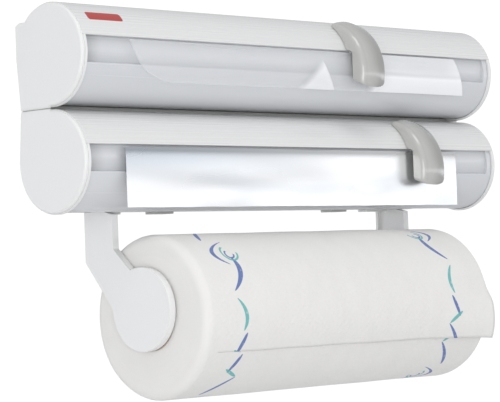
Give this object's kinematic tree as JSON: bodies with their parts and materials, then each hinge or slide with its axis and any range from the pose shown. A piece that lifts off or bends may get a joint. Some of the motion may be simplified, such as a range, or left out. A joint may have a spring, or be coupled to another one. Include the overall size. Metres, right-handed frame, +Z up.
{
  "type": "cling film dispenser",
  "caption": "Wall-mounted kitchen dispenser: cling film and foil rolls in two horizontal tubes with sliding cutters, and a kitchen paper roll hung between two arms below.",
  "frame": {"origin": "centre of the wall bracket's two screw holes, on the wall plane", "axes": "+X along the tubes towards the user's right, +Y into the wall, +Z up"},
  "size_m": [0.374, 0.1027, 0.2381],
  "materials": {
    "white_plastic": "moulded, semi-gloss white",
    "shell_plastic": "extruded, semi-gloss off-white",
    "panel_plastic": "moulded, satin cool light grey",
    "grey_plastic": "moulded, matt grey",
    "cutter_plastic": "moulded, glossy warm grey",
    "steel": "zinc plated",
    "bracket_steel": "powder coated",
    "blade_steel": "ground edge",
    "label": "plain red film label",
    "card": "wound card",
    "cling_film": "wound clear film",
    "clear_film": "one clear film",
    "foil": "bright rolled foil",
    "kitchen_paper": "embossed absorbent paper with a printed border"
  },
  "bodies": {
    "bracket": {"wall_bracket": "bracket_steel"},
    "dispenser": {"back_spine": "grey_plastic", "spine_screws": "steel", "upper_shell": "shell_plastic", "lower_shell": "shell_plastic", "upper_cap_left": "white_plastic", "upper_cap_right": "white_plastic", "lower_cap_left": "white_plastic", "lower_cap_right": "white_plastic", "blank_label": "label", "cling_film_sheet": "clear_film", "foil_sheet": "foil", "arm_bar": "steel", "bar_mounts": "grey_plastic"},
    "upper_door": {"upper_door": "panel_plastic"},
    "lower_door": {"lower_door": "panel_plastic"},
    "cling_roll": {"cling_film_core": "card", "cling_film_wound": "cling_film", "cling_plug_left": "white_plastic", "cling_plug_right": "white_plastic"},
    "foil_roll": {"foil_core": "card", "foil_wound": "foil", "foil_plug_left": "white_plastic", "foil_plug_right": "white_plastic"},
    "upper_cutter": {"upper_cutter_body": "cutter_plastic", "upper_cutter_shoe": "white_plastic", "upper_cutter_blade": "blade_steel"},
    "lower_cutter": {"lower_cutter_body": "cutter_plastic", "lower_cutter_shoe": "white_plastic", "lower_cutter_blade": "blade_steel"},
    "left_arm": {"left_arm": "white_plastic", "left_hub": "white_plastic"},
    "right_arm": {"right_arm": "white_plastic", "right_hub": "white_plastic"},
    "paper_roll": {"paper_core": "card", "paper_wound": "kitchen_paper", "paper_tail": "kitchen_paper"}
  },
  "joints": [
    {"name": "unhook_lift", "type": "slide", "parent": "bracket", "child": "dispenser", "axis": [0, 0, 1], "range_m": [0, 0.0048]},
    {"name": "upper_door_turn", "type": "hinge", "parent": "dispenser", "child": "upper_door", "pos_m": [0, -0.031, 0.0317], "axis": [1, 0, 0], "range_deg": [0, 90]},
    {"name": "lower_door_turn", "type": "hinge", "parent": "dispenser", "child": "lower_door", "pos_m": [0, -0.031, -0.0317], "axis": [1, 0, 0], "range_deg": [0, 90]},
    {"name": "upper_cutter_slide", "type": "slide", "parent": "dispenser", "child": "upper_cutter", "axis": [1, 0, 0], "range_m": [-0.214, 0.114]},
    {"name": "lower_cutter_slide", "type": "slide", "parent": "dispenser", "child": "lower_cutter", "axis": [1, 0, 0], "range_m": [-0.27, 0.058]},
    {"name": "cling_roll_spin", "type": "hinge", "parent": "dispenser", "child": "cling_roll", "pos_m": [0, -0.031, 0.0317], "axis": [1, 0, 0], "continuous": true},
    {"name": "foil_roll_spin", "type": "hinge", "parent": "dispenser", "child": "foil_roll", "pos_m": [0, -0.031, -0.0317], "axis": [1, 0, 0], "continuous": true},
    {"name": "left_arm_slide", "type": "slide", "parent": "dispenser", "child": "left_arm", "axis": [1, 0, 0], "range_m": [-0.02, 0]},
    {"name": "right_arm_slide", "type": "slide", "parent": "dispenser", "child": "right_arm", "axis": [1, 0, 0], "range_m": [0, 0.025]},
    {"name": "paper_roll_spin", "type": "hinge", "parent": "left_arm", "child": "paper_roll", "pos_m": [0, -0.051, -0.1254], "axis": [1, 0, 0], "continuous": true}
  ]
}
